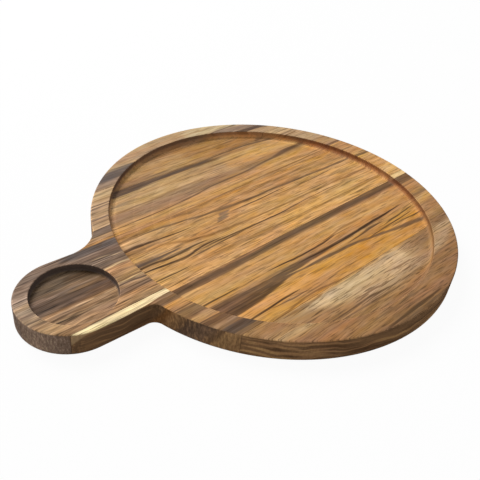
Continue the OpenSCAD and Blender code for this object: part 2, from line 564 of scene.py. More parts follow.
def wood_material(name, stave):
    """Oiled hardwood with the stave's own figure, grain lines, pores, end grain and tool marks."""
    g = Graph(bpy.data.materials.new(name))
    wood = wood_places(g, stave)
    colour = figure(g, wood, stave)
    colour = grained(g, wood, stave, colour)
    facings(g, wood)
    colour = sided(g, wood, stave, colour)
    roughness = g.linear(wood["fibre"], ROUGHNESS_FIBRE, ROUGHNESS)
    roughness = g.linear(wood["side"], ROUGHNESS_SIDE, roughness)
    specular = g.linear(wood["side"], -SPECULAR_SIDE, SPECULAR)
    height = g.linear(wood["pore"], -PORE_RELIEF, g.times(wood["fibre"], FIBRE_RELIEF))
    height = g.linear(wood["passes"], PASS_RELIEF, height)
    return g.surface(colour, roughness, specular, height, BUMP_STRENGTH, BUMP_HEIGHT)


def glue_material():
    """Cured wood glue: dark amber, a little uneven along the joint."""
    g = Graph(bpy.data.materials.new("cured glue"))
    uneven = g.noise(g.millimetres(g.place()), *GLUE_NOISE)
    stops = [(-GLUE_SPAN, "ink"), (0.0, "cocoa"), (GLUE_SPAN, "walnut")]
    colour = g.bands(uneven, -GLUE_SPAN, GLUE_SPAN, stops)
    roughness = g.linear(uneven, GLUE_UNEVEN, GLUE_ROUGHNESS)
    return g.surface(colour, roughness, SPECULAR, uneven, GLUE_BUMP_STRENGTH, GLUE_BUMP_HEIGHT)


# Each stave: where it lies across the grain, how its rings lean with depth, how its grain isn't as usual,
# what its edges are like, then bands (across, tone) and streaks (tone, strength, softness, points) for its
# face, for the floors of its hollows and, on some, for its outer wall
USUAL = dict(broad=0.55, fine=0.6, hair=0.58, pores=0.42, vessel=0.4, edge_grain=(60.0, 60.0, 2.2))
STAVES = {}

STAVES["stave_far_edge"] = dict(
    USUAL,
    seed=900.0,
    reach=(100.0, 156.0),
    lean=0.5,
    broad=0.6,
    edge=WARM_EDGE,
    edge_share=0.7,
    speckle=0.8,
    face=[(100, "biscuit"), (134, "biscuit"), (145, "sand"), (156, "sand")],
    face_lines=[
        ("fawn", 0.45, 0.8, (-100, 132, 10), (-60, 140, 9), (-20, 143, 8), (20, 145, 5)),
        ("straw", 0.9, 0.6, (10, 140, 5), (45, 139, 7), (85, 135, 6)),
        ("dove", 0.9, 0.5, (-116, 108.6, 3.2), (-95, 109.5, 4), (-80, 110, 3)),
        ("slate", 1.0, 0.4, (-120, 116.5, 4.5), (-90, 118, 5.6), (-72, 120, 6), (-44, 122.5, 4)),
        ("clay", 0.5, 0.5, (-60, 139, 0.7), (0, 142, 0.9), (60, 140, 0.8)),
        ("dove", 0.5, 0.6, (-52, 131, 2), (-20, 135, 2), (10, 136.5, 1.4)),
        ("dove", 1.0, 0.5, (22, 130, 3), (60, 126.5, 5.4), (80, 124, 5), (108, 119, 4)),
        ("mud", 1.0, 0.4, (46, 120.5, 1.4), (75, 118, 2.6), (106, 115.5, 2.8)),
        ("mud", 0.8, 0.5, (28, 131.7, 0.7), (55, 132.3, 0.9), (82, 133.2, 0.8)),
    ],
    floor=[(100, "tan"), (112, "caramel"), (122, "caramel"), (130, "tan"), (137, "clay")],
    floor_lines=[
        ("russet", 0.6, 0.8, (-10, 120, 10), (60, 112, 12), (100, 106, 10)),
        ("smoke", 0.5, 0.6, (-104, 105.5, 2), (-75, 107, 3.5), (-26, 105.4, 1.5)),
        ("copper", 0.35, 0.6, (-40, 129.5, 1.8), (0, 131, 2.5), (40, 128.5, 2.5)),
        ("walnut", 0.7, 0.6, (76, 105.5, 1), (86, 105.6, 2.2), (98, 104.5, 1.2)),
    ],
)

STAVES["stave_far"] = dict(
    USUAL,
    seed=500.0,
    reach=(40.0, 110.0),
    lean=-0.4,
    edge=BROWN_EDGE,
    edge_share=0.6,
    speckle=0.8,
    face=[(40, "fawn"), (51, "fawn"), (58, "biscuit"), (90, "biscuit"), (98, "sand"), (110, "biscuit")],
    face_lines=[
        ("apricot", 0.5, 0.4, (-166, 48, 2.6), (-140, 48.3, 2.8), (-106, 48.5, 2.6)),
        ("mauve", 1.0, 0.4, (-154, 55.5, 3.2), (-132, 55.5, 3.4), (-112, 56, 2.4)),
        ("mud", 0.8, 0.5, (-152, 51.8, 0.5), (-130, 51.9, 0.6), (-110, 52, 0.5)),
        ("mud", 0.7, 0.5, (-150, 58.2, 0.5), (-130, 58.6, 0.6), (-114, 59, 0.5)),
        ("smoke", 0.9, 0.5, (-148, 70, 0.6), (-128, 70, 0.8), (-104, 70.4, 0.6)),
        ("moss", 0.4, 0.5, (-146, 65.5, 0.5), (-106, 66, 0.4)),
        ("moss", 0.35, 0.5, (-144, 76, 0.5), (-104, 76.5, 0.5)),
        ("smoke", 0.9, 0.5, (-138, 83.4, 0.6), (-118, 83.8, 0.8), (-96, 84, 0.6)),
        ("smoke", 0.9, 0.5, (-136, 86.3, 0.6), (-115, 86.6, 0.7), (-92, 87.5, 0.7)),
        ("fawn", 0.5, 0.6, (-126, 92, 2), (-98, 93, 2)),
        ("caramel", 0.9, 0.4, (96, 59, 5), (130, 58.8, 5.4), (160, 58.5, 5.5)),
        ("umber", 0.8, 0.5, (112, 51.3, 0.7), (140, 50.7, 0.9), (158, 50.5, 0.7)),
        ("drab", 0.8, 0.5, (100, 65, 0.7), (125, 65.3, 0.9), (150, 65, 0.7)),
        ("walnut", 0.9, 0.5, (92, 88, 0.6), (106, 88.3, 0.8), (119, 89, 0.5)),
        ("walnut", 0.7, 0.5, (96, 92, 0.6), (108, 92.4, 0.6), (124, 93.4, 0.6)),
        ("walnut", 0.7, 0.5, (96, 97, 0.4), (110, 97.2, 0.8), (124, 97.6, 0.6)),
        ("umber", 0.5, 0.5, (88, 103, 0.5), (120, 104, 0.7)),
    ],
    floor=[
        (40, "ginger"), (50, "ginger"), (53, "honey"), (58, "honey"), (61, "apricot"), (64, "tan"),
        (70, "tan"), (80, "wheat"), (95, "wheat"), (100, "tan"), (110, "caramel"),
    ],
    floor_lines=[
        ("amber", 0.5, 0.7, (15, 86, 8), (80, 86, 12), (135, 82, 14)),
        ("dove", 0.45, 0.6, (-136, 68, 6), (-90, 69, 7), (-50, 70, 7), (-20, 71, 5), (25, 73, 2)),
        ("clay", 0.5, 0.6, (-36, 68, 2), (20, 70.5, 4), (50, 73, 3.5), (106, 78, 3)),
        ("amber", 0.5, 0.6, (35, 62, 2.5), (90, 64, 4.5), (135, 64, 4)),
        ("copper", 0.8, 0.5, (-140, 47.2, 0.5), (-60, 47.6, 0.7), (0, 49.8, 0.8), (60, 51.7, 0.8),
         (136, 54, 0.9)),
        ("drab", 0.5, 0.5, (-138, 51, 0.4), (-100, 50.5, 0.5), (-46, 50.5, 0.4)),
        ("copper", 0.5, 0.5, (16, 55.5, 0.3), (60, 58, 0.5), (96, 58.6, 0.3)),
        ("walnut", 0.95, 0.5, (-138, 58.5, 0.6), (-100, 59, 0.7), (-70, 59.7, 0.8), (-45, 61, 0.8),
         (-20, 64, 0.9), (0, 65.3, 1), (30, 66.5, 1.1), (60, 69.5, 1.4), (80, 72.5, 2.4), (100, 74.5, 3),
         (140, 77.5, 3)),
        ("drab", 0.6, 0.5, (-114, 74.5, 0.5), (-90, 76, 0.6), (-60, 77, 0.7), (-30, 78, 0.7),
         (14, 78.5, 0.4)),
        ("moss", 0.5, 0.6, (-110, 84, 0.6), (-92, 84.5, 1.4), (-72, 83.5, 0.6)),
        ("clay", 0.35, 0.5, (-116, 88, 0.5), (-80, 88, 0.6), (-30, 90, 0.5)),
        ("mud", 1.0, 0.4, (-126, 98.8, 3), (-90, 99.5, 4.2), (-70, 100, 4.2), (-50, 100.4, 3.4),
         (-30, 100.8, 2.4), (20, 101, 1.2)),
        ("walnut", 0.95, 0.5, (-60, 103, 0.6), (-20, 103, 0.8), (0, 102.8, 0.9), (30, 103.3, 0.9),
         (55, 103.2, 0.9), (75, 101.8, 1.3), (92, 99, 1.8), (110, 96.5, 2)),
        ("drab", 0.6, 0.5, (-58, 98.2, 0.6), (-10, 98.5, 0.6), (20, 99.5, 0.6), (54, 100, 0.3)),
        ("walnut", 0.8, 0.6, (74, 103.8, 1), (86, 104.2, 2), (98, 102.5, 2)),
    ],
)

STAVES["stave_centre"] = dict(
    USUAL,
    seed=0.0,
    reach=(-32.0, 54.0),
    lean=0.35,
    broad=0.6,
    fine=0.85,
    hair=0.95,
    pores=0.5,
    edge=GREY_EDGE,
    edge_share=0.4,
    speckle=1.2,
    end_grain=(1.1, 1.1, 2.6),
    wall=[
        (-32, "drab"), (-22, "mauve"), (-10, "dove"), (0, "dove"), (8, "mauve"), (13, "slate"),
        (20, "mauve"), (30, "dove"), (54, "fawn"),
    ],
    face=[
        (-32, "fawn"), (-14, "tan"), (-6, "fawn"), (10, "taupe"), (20, "taupe"), (30, "dove"),
        (38, "mauve"), (54, "mauve"),
    ],
    face_lines=[
        ("honey", 1.0, 0.2, (40, 10, 60), (110, 10, 60), (220, 10, 60)),
        ("tan", 0.6, 0.5, (85, 42, 4), (170, 42, 4)),
        ("ginger", 0.8, 0.4, (85, 29, 4.5), (170, 29, 4.5)),
        ("gold", 1.0, 0.4, (85, -14, 8), (170, -14, 8)),
        ("butter", 0.25, 0.5, (85, -14, 7), (170, -14, 7)),
        ("gold", 0.6, 0.4, (85, 4, 6), (170, 4, 6)),
        ("umber", 0.8, 0.5, (90, 35.3, 0.8), (135, 35.5, 0.9), (166, 35.8, 0.8)),
        ("umber", 0.85, 0.4, (80, 20, 1.2), (135, 19.6, 1.6), (166, 19.5, 1.5)),
        ("tan", 0.6, 0.5, (100, 12.3, 0.6), (166, 12, 0.7)),
        ("toffee", 0.65, 0.5, (100, -5, 0.7), (166, -4.5, 0.8)),
        ("dove", 0.6, 0.6, (-226, 41, 5), (-190, 41, 5), (-164, 41, 3)),
        ("straw", 0.2, 0.8, (-244, 8, 16), (-222, 8, 16), (-208, 8, 10)),
        ("slate", 0.95, 0.4, (-182, 41.2, 2), (-160, 41, 3.5), (-145, 41, 3.8), (-128, 40.5, 3.8),
         (-86, 40, 2)),
        ("orange", 0.8, 0.3, (-164, 46.4, 1.9), (-140, 46.4, 1.9), (-118, 46.6, 1.8), (-92, 46.8, 1.5)),
        ("smoke", 1.0, 0.5, (-180, 33, 2.4), (-155, 33, 3.8), (-138, 32.6, 3.8), (-96, 31, 2.4)),
        ("taupe", 0.7, 0.5, (-176, 36.5, 0.5), (-150, 36.2, 0.7), (-126, 36.3, 0.5)),
        ("smoke", 0.95, 0.2, (-168, 21.2, 4), (-150, 21.1, 4.3), (-138, 21, 4.3), (-100, 20.6, 3.4)),
        ("sand", 0.4, 0.5, (-162, 29.8, 0.4), (-150, 29, 0.6), (-145, 27.2, 0.6), (-140, 26, 0.6),
         (-128, 25.6, 0.4)),
        ("mud", 0.6, 0.5, (-162, 28, 0.4), (-148, 27.3, 0.5), (-136, 28.5, 0.4)),
        ("tan", 0.9, 0.1, (-180, 7.3, 9.4), (-157, 7.3, 9.4), (-145, 7.2, 9.4), (-130, 7.2, 9.4),
         (-90, 7, 8)),
        ("apricot", 0.8, 0.5, (-166, 10.8, 2.8), (-148, 10.8, 3), (-122, 10.4, 2.6)),
        ("drab", 0.6, 0.5, (-162, 14.2, 0.6), (-148, 14.2, 0.8), (-124, 14, 0.6)),
        ("sand", 0.95, 0.5, (-166, 16, 0.7), (-148, 16.2, 0.9), (-120, 16, 0.8)),
        ("umber", 0.7, 0.5, (-162, 4.2, 0.8), (-148, 4, 1), (-122, 3.6, 0.8)),
        ("walnut", 0.9, 0.5, (-166, 0.4, 0.7), (-148, 0.2, 0.9), (-120, -0.3, 0.7)),
        ("sand", 0.9, 0.5, (-164, -1.7, 0.6), (-148, -2, 0.8), (-122, -2.4, 0.6)),
        ("mud", 0.95, 0.5, (-166, -4.2, 0.7), (-150, -4.5, 0.9), (-142, -5.6, 0.9), (-120, -7, 0.8)),
        ("smoke", 0.8, 0.6, (-174, -10.5, 2.4), (-150, -10.6, 3), (-122, -11, 2.6)),
        ("bark", 0.7, 0.5, (-160, -9.2, 0.4), (-148, -9.4, 0.6), (-124, -9.8, 0.5)),
        ("bark", 0.7, 0.5, (-162, -12.4, 0.4), (-150, -12.2, 0.5), (-130, -12.6, 0.4)),
        ("apricot", 0.6, 0.6, (-200, -17.5, 1.6), (-165, -17, 2), (-124, -17, 2)),
        ("umber", 0.5, 0.5, (-212, -21.6, 0.5), (-175, -21.4, 0.6), (-136, -21.2, 0.5)),
        ("mauve", 0.5, 0.6, (-240, 27, 2), (-214, 28, 2.4), (-196, 29, 1)),
        ("biscuit", 0.6, 0.8, (-240, -15, 4), (-214, -15, 5), (-192, -16, 3)),
        ("biscuit", 0.6, 0.6, (-240, 14.5, 1.6), (-222, 14.5, 1.8), (-206, 15, 1)),
        ("smoke", 0.6, 0.6, (-240, 6.5, 1.2), (-222, 6, 1.6), (-208, 5.5, 0.8)),
        ("mud", 0.6, 0.5, (-240, -4.8, 0.5), (-224, -5, 0.7), (-208, -5.4, 0.4)),
        ("smoke", 0.6, 0.6, (-236, -1, 0.7), (-220, -1.2, 1), (-208, -1.4, 0.5)),
    ],
    floor=[
        (-32, "honey"), (-18, "gold"), (-14, "honey"), (26, "honey"), (31, "ginger"), (40, "ginger"),
        (44, "orange"), (54, "orange"),
    ],
    floor_lines=[
        ("ginger", 0.5, 0.6, (-170, 20, 20), (-105, 20, 20), (-70, 20, 18), (-10, 20, 8)),
        ("sand", 0.4, 0.8, (-146, 36, 4), (-110, 36, 5), (-76, 36, 3)),
        ("walnut", 0.85, 0.5, (-140, 41.5, 0.7), (-105, 41.3, 0.7), (-90, 40.3, 0.9), (-75, 38.3, 1),
         (-60, 35.8, 1.2), (-45, 33.8, 1.2), (-30, 32.2, 1.2), (-10, 31, 1.2), (20, 30.6, 1.3),
         (60, 29, 1.2), (100, 28, 1.2), (150, 27.5, 1.2)),
        ("copper", 0.4, 0.5, (-140, 44.5, 0.5), (-80, 46, 0.6), (-24, 46.5, 0.6)),
        ("toffee", 0.6, 0.6, (-20, 41, 0.8), (50, 40.8, 1), (90, 41.5, 1.2), (150, 42, 1)),
        ("honey", 0.5, 0.6, (-20, 43.8, 0.8), (60, 43.6, 0.9), (150, 44.5, 0.9)),
        ("tan", 0.35, 0.6, (40, 33, 1), (150, 34, 1.5)),
        ("cocoa", 0.95, 0.5, (-146, 30.5, 1.2), (-122, 30.6, 1.6), (-112, 30, 1), (-95, 28.6, 0.8),
         (-82, 27.2, 0.7), (-66, 26.8, 0.3)),
        ("umber", 0.6, 0.6, (-146, 27, 1), (-122, 26.5, 1.3), (-102, 26, 0.6)),
        ("smoke", 0.75, 0.7, (-48, 20.4, 0.8), (-41, 21, 1.6), (-33, 21.6, 0.7)),
        ("moss", 0.85, 0.7, (-45, 23.4, 0.8), (-38, 24, 1.8), (-30, 24.6, 0.8)),
        ("smoke", 0.8, 0.7, (-41, 26.6, 0.7), (-35, 27.2, 1.5), (-27, 27.8, 0.7)),
        ("drab", 0.6, 0.6, (-38, 32, 0.6), (-26, 35.5, 1.6), (-20, 36.8, 1), (-10, 37.4, 0.5)),
        ("bark", 0.9, 0.5, (-32, 25.3, 0.3), (-12, 25, 0.8), (0, 25.2, 0.8), (12, 25.6, 0.7),
         (42, 26.4, 0.2)),
        ("copper", 0.6, 0.5, (16, 25.8, 0.3), (23, 23.8, 0.6), (29, 19.5, 0.3)),
        ("walnut", 0.85, 0.5, (58, 21.2, 0.3), (78, 22, 0.7), (88, 22.6, 0.6), (103, 23.6, 0.3)),
        ("copper", 0.4, 0.5, (32, 21.2, 0.4), (50, 21.4, 0.6), (72, 21.6, 0.4)),
        ("copper", 0.6, 0.5, (104, 21, 0.4), (122, 21.3, 0.7), (146, 21.8, 0.6)),
        ("copper", 0.8, 0.5, (-110, 24.5, 0.6), (-94, 19, 1.5), (-86, 15.8, 1.8), (-76, 13.2, 1.5),
         (-66, 11.3, 1.2), (-50, 9.2, 1.1), (-30, 8, 1), (0, 7.2, 1), (60, 6.6, 1), (100, 6, 1.1),
         (150, 5.5, 1.2)),
        ("mud", 1.0, 0.5, (-150, 11.5, 2), (-122, 11, 2.4), (-110, 10.6, 1.7), (-90, 10.9, 0.5)),
        ("smoke", 0.6, 0.5, (-150, 15, 0.8), (-115, 13.8, 0.8), (-92, 12.5, 0.4)),
        ("cocoa", 0.95, 0.5, (-150, 8, 1), (-118, 7.2, 1.1), (-104, 5.6, 1), (-92, 6.2, 1), (-82, 6.9, 0.7),
         (-68, 7, 0.3)),
        ("mud", 0.7, 0.5, (-118, 6.8, 0.5), (-95, 7.4, 0.8), (-76, 7.8, 0.3)),
        ("cocoa", 0.95, 0.5, (-150, 3.2, 0.8), (-124, 2.2, 0.9), (-112, 0.5, 1), (-100, -0.5, 1),
         (-92, 0, 1), (-84, 1.8, 1.1), (-76, 3, 1), (-66, 3.3, 0.7), (-48, 3.2, 0.3)),
        ("bark", 0.95, 0.5, (-88, 0.8, 0.3), (-62, 0.8, 0.7), (-45, 0.6, 0.8), (-30, 0.2, 0.8),
         (-10, -0.7, 0.8), (8, -0.7, 0.8), (22, 0.2, 0.7), (40, 1.1, 0.6), (58, 1.5, 0.4), (90, 1.9, 0.2)),
        ("walnut", 0.9, 0.5, (-100, -3.4, 0.3), (-80, -2.7, 0.7), (-66, -2, 0.7), (-52, -1.4, 0.5),
         (-32, -0.8, 0.2)),
        ("bark", 0.9, 0.5, (-146, -9.8, 0.4), (-120, -10.5, 0.8), (-112, -11, 0.6), (-98, -10.4, 0.2)),
        ("toffee", 0.4, 0.5, (-94, -10, 0.5), (-60, -9.3, 0.5), (-24, -9.8, 0.4)),
        ("toffee", 0.75, 0.6, (-90, -10.5, 1), (0, -11.8, 1.8), (60, -12.3, 1.6), (100, -11.5, 1.6),
         (150, -11.3, 1.5)),
    ],
    recess=[
        (-32, "fawn"), (-4, "fawn"), (1, "fawn"), (3, "drab"), (6, "smoke"), (9, "mud"), (14, "mud"),
        (17, "smoke"), (22, "peat"), (54, "peat"),
    ],
    recess_lines=[
        ("umber", 0.6, 0.8, (-192, 13, 6), (-168, 14, 11), (-140, 14, 13)),
        ("mud", 0.8, 0.5, (-230, 10.8, 2), (-200, 11, 3), (-188, 11, 3), (-168, 10.5, 1.6), (-146, 10, 0.8)),
        ("bark", 0.8, 0.6, (-186, 28, 2), (-168, 26.5, 4), (-150, 24, 5)),
        ("dove", 0.5, 0.5, (-230, 17.2, 0.8), (-190, 17.6, 1.2), (-160, 18, 0.8)),
        ("cocoa", 0.5, 0.5, (-222, 13.8, 0.4), (-190, 13.6, 0.7), (-160, 13.8, 0.6)),
        ("bark", 0.7, 0.5, (-188, 23.8, 0.6), (-172, 24.5, 1.2), (-163, 24, 1.6), (-146, 22, 1.4)),
        ("fawn", 0.5, 0.5, (-230, 21.3, 0.4), (-195, 22, 0.6), (-172, 21.5, 0.4)),
        ("biscuit", 0.5, 0.5, (-230, 1.5, 0.5), (-190, 1, 0.6), (-150, 0.5, 0.5)),
        ("biscuit", 0.5, 0.5, (-230, -5.2, 0.5), (-195, -6, 0.6), (-165, -7.3, 0.5)),
        ("umber", 0.6, 0.5, (-230, -3, 0.4), (-180, -3, 0.6), (-146, -2.4, 0.5)),
        ("umber", 0.5, 0.5, (-210, -9.5, 0.4), (-185, -10, 0.6), (-160, -10.4, 0.4)),
    ],
)

STAVES["stave_near"] = dict(
    USUAL,
    seed=1400.0,
    reach=(-98.0, -18.0),
    lean=-0.55,
    edge=BROWN_EDGE,
    edge_share=0.55,
    speckle=1.2,
    edge_grain=(45.0, 9.0, 1.8),
    end_grain=(1.8, 1.8, 6.0),
    wall=[
        (-98, "tan"), (-88, "caramel"), (-84, "caramel"), (-81, "umber"), (-74, "smoke"), (-67, "smoke"),
        (-60, "mud"), (-57, "drab"), (-53, "tan"), (-49, "ginger"), (-46, "russet"), (-43, "russet"),
        (-40, "umber"), (-36, "umber"), (-32, "walnut"), (-30.6, "umber"), (-30, "sand"), (-18, "sand"),
    ],
    face=[
        (-98, "caramel"), (-92, "caramel"), (-90, "drab"), (-88, "drab"), (-80, "clay"), (-70, "tan"),
        (-66, "honey"), (-60, "apricot"), (-58, "clay"), (-55, "tan"), (-45, "ginger"), (-39.4, "ginger"),
        (-38.2, "drab"), (-36, "umber"), (-34, "drab"), (-31.8, "drab"), (-31.2, "cream"), (-18, "cream"),
    ],
    face_lines=[
        ("butter", 1.0, 0.3, (40, -25, 6), (110, -25, 6), (180, -25, 6)),
        ("umber", 1.0, 0.1, (40, -33, 4.2), (110, -33, 4.3), (180, -33, 4.4)),
        ("ginger", 0.6, 0.6, (76, -79, 7), (116, -79, 8), (156, -79, 8)),
        ("drab", 1.0, 0.2, (-172, -32, 0.3), (-160, -31.7, 0.6), (-146, -31.2, 1), (-122, -31, 1.3)),
        ("fawn", 0.8, 0.4, (-154, -32.2, 0.5), (-138, -32.2, 0.7), (-120, -32.2, 0.6)),
        ("orange", 1.0, 0.2, (-170, -42, 2.8), (-130, -42, 3), (-100, -42, 3), (-30, -42, 2)),
        ("bark", 0.8, 0.5, (-166, -47.5, 0.5), (-130, -47, 0.7), (-100, -47, 0.5)),
        ("drab", 1.0, 0.25, (-176, -53, 5), (-130, -53, 4.7), (-110, -53.5, 4.5), (-50, -54, 3),
         (10, -55, 1.5)),
        ("caramel", 0.95, 0.25, (-166, -61.5, 2.2), (-128, -61.7, 2.4), (-110, -62.5, 2), (-60, -63, 1.5)),
        ("walnut", 1.0, 0.25, (-168, -68.5, 4), (-125, -68.7, 4), (-108, -69.5, 4), (-60, -70, 2.5),
         (10, -71, 1.5)),
        ("caramel", 0.7, 0.5, (-150, -67, 0.4), (-128, -67.2, 0.6), (-104, -67.5, 0.5)),
        ("caramel", 0.7, 0.5, (-148, -71.5, 0.4), (-124, -71.8, 0.5), (-100, -72, 0.4)),
        ("umber", 0.8, 0.3, (-172, -76, 9), (-116, -76, 9), (-96, -78, 7), (-50, -80, 4)),
        ("fawn", 0.85, 0.4, (-156, -75, 1.7), (-122, -75, 1.9), (-113, -75.6, 1.6), (-96, -79, 1)),
        ("mud", 1.0, 0.25, (-160, -82.5, 3.5), (-116, -82.8, 3.8), (-100, -83.5, 3.5), (-30, -84, 2)),
        ("walnut", 0.6, 0.5, (95, -43, 0.6), (125, -42.6, 0.8), (150, -42.4, 0.6)),
        ("drab", 0.6, 0.5, (92, -57.4, 0.6), (120, -57.2, 1), (144, -57, 0.6)),
    ],
    floor=[
        (-98, "amber"), (-66, "amber"), (-60, "orange"), (-55, "ginger"), (-51, "orange"), (-46, "honey"),
        (-37, "honey"), (-34.6, "gold"), (-33.2, "gold"), (-31.8, "ginger"), (-30, "drab"),
        (-28.8, "walnut"), (-26.6, "walnut"), (-25, "umber"), (-18, "umber"),
    ],
    floor_lines=[
        ("umber", 0.9, 0.5, (-160, -31, 2.2), (-100, -31, 1.8), (-70, -30.8, 1), (-30, -30.5, 0.3)),
        ("clay", 0.7, 0.6, (-150, -25.2, 1), (-90, -25.2, 1.3), (-60, -25.2, 1), (-25, -25, 0.4)),
        ("drab", 0.7, 0.6, (80, -25.4, 0.4), (105, -25.5, 1.2), (150, -25.6, 1)),
        ("toffee", 0.5, 0.6, (-80, -42, 0.8), (0, -41.5, 1), (60, -41, 1), (140, -42, 1.5)),
        ("gold", 0.5, 0.8, (-76, -37, 4), (20, -37, 4), (116, -37, 4)),
        ("orange", 0.4, 0.7, (30, -37, 2), (80, -38.5, 3.4), (140, -40, 4.5)),
        ("gold", 0.7, 0.6, (-126, -75.5, 5), (-80, -76, 7), (-50, -79, 7), (-10, -82, 4)),
        ("orange", 0.3, 0.7, (-40, -82.5, 2.5), (0, -82, 4), (46, -79, 2.5)),
        ("orange", 0.5, 0.6, (40, -83, 3.5), (75, -83.5, 4.4), (116, -84, 5)),
        ("bark", 0.95, 0.5, (-140, -50, 0.5), (-112, -50, 0.8), (-100, -50.2, 0.6), (-84, -50, 0.2)),
        ("cocoa", 1.0, 0.5, (-60, -49.8, 0.3), (-40, -50, 0.7), (-28, -50.8, 1), (-12, -51.2, 1),
         (4, -50.6, 0.9), (24, -49.2, 0.3)),
        ("copper", 0.8, 0.5, (4, -50, 0.4), (28, -46.8, 0.9), (40, -46.5, 0.9), (66, -46.6, 0.3)),
        ("tan", 0.6, 0.6, (-140, -53.5, 1.5), (-60, -53.8, 1.2), (20, -54, 1.2)),
        ("walnut", 1.0, 0.25, (-150, -64.5, 9.4), (-105, -63, 8.2), (-90, -62.5, 7.2), (-75, -61.7, 6.2),
         (-60, -60.5, 5), (-45, -59.3, 3.8), (-30, -58.3, 2.9), (-10, -57.8, 2.2), (10, -57.3, 1.8),
         (30, -57.2, 1.6), (50, -56.6, 1.2), (70, -55.8, 0.9), (112, -53.8, 0.3)),
        ("bark", 0.8, 0.5, (-130, -70, 1.6), (-95, -68.5, 1.8), (-80, -67.5, 1.6), (-65, -65.5, 1.3),
         (-52, -63.8, 1), (-30, -62.2, 0.5)),
        ("cocoa", 0.7, 0.5, (-128, -58, 0.5), (-100, -58.4, 0.7), (-76, -58.6, 0.5)),
        ("cocoa", 0.6, 0.5, (-126, -64.6, 0.4), (-98, -64.2, 0.6), (-70, -62.8, 0.4)),
        ("drab", 0.7, 0.5, (-128, -61.4, 0.4), (-96, -60.8, 0.6), (-60, -59, 0.4)),
        ("toffee", 0.5, 0.6, (-16, -64, 1.2), (25, -64.5, 2), (45, -65, 2.2), (80, -66.5, 1.2)),
        ("ink", 0.95, 0.5, (-36, -56.6, 0.5), (0, -57.5, 0.9), (20, -58, 1), (35, -57.3, 0.9),
         (55, -55.8, 1), (70, -55.3, 1), (84, -55, 0.7), (108, -53.5, 0.3)),
        ("honey", 0.9, 0.5, (-52, -61.2, 0.3), (-30, -62.2, 0.8), (-15, -62.2, 0.9), (5, -62.3, 1),
         (20, -61, 1), (35, -59.5, 0.9), (60, -58.8, 0.7), (104, -56.8, 0.4)),
        ("walnut", 0.95, 0.5, (-58, -62.4, 0.6), (-30, -63.8, 1), (-12, -64.8, 1.3), (5, -65.6, 1.5),
         (20, -66.3, 1.4), (35, -68, 1.4), (50, -70.5, 1.5), (65, -73, 1.8), (80, -75.2, 2.1),
         (95, -77.2, 2.3), (130, -82, 2.3)),
        ("bark", 0.9, 0.5, (20, -63.5, 0.3), (40, -62, 0.7), (52, -61.4, 0.8), (72, -60.4, 0.3)),
        ("cocoa", 0.95, 0.5, (42, -68.6, 0.3), (62, -67.8, 0.7), (78, -67, 0.8), (92, -66.4, 0.7),
         (112, -65.8, 0.3)),
        ("bark", 0.9, 0.5, (68, -64.7, 0.3), (88, -63, 0.7), (100, -62.2, 0.7), (119, -61.2, 0.3)),
        ("bark", 0.9, 0.5, (71, -70.4, 0.3), (90, -69.8, 0.6), (100, -70.6, 0.8), (118, -71.6, 0.4)),
        ("copper", 0.7, 0.5, (98, -61, 0.3), (112, -59, 0.6), (128, -57.4, 0.5)),
        ("cocoa", 1.0, 0.5, (-112, -80.2, 0.4), (-92, -79.3, 0.9), (-78, -78.7, 0.9), (-66, -78, 0.8),
         (-50, -78, 0.3)),
        ("walnut", 0.85, 0.5, (-84, -80.4, 0.3), (-70, -81.5, 0.6), (-62, -82.3, 0.6), (-46, -82.2, 0.3)),
        ("copper", 0.6, 0.5, (-66, -78.6, 0.3), (-54, -81.5, 0.6), (-44, -84.4, 0.3)),
        ("copper", 0.85, 0.5, (-102, -91.4, 0.6), (-78, -89.8, 1.1), (-66, -88, 1), (-56, -87, 0.9),
         (-44, -86.8, 0.9), (-32, -87.6, 0.9), (-20, -89, 0.8), (4, -90.2, 0.5)),
    ],
)

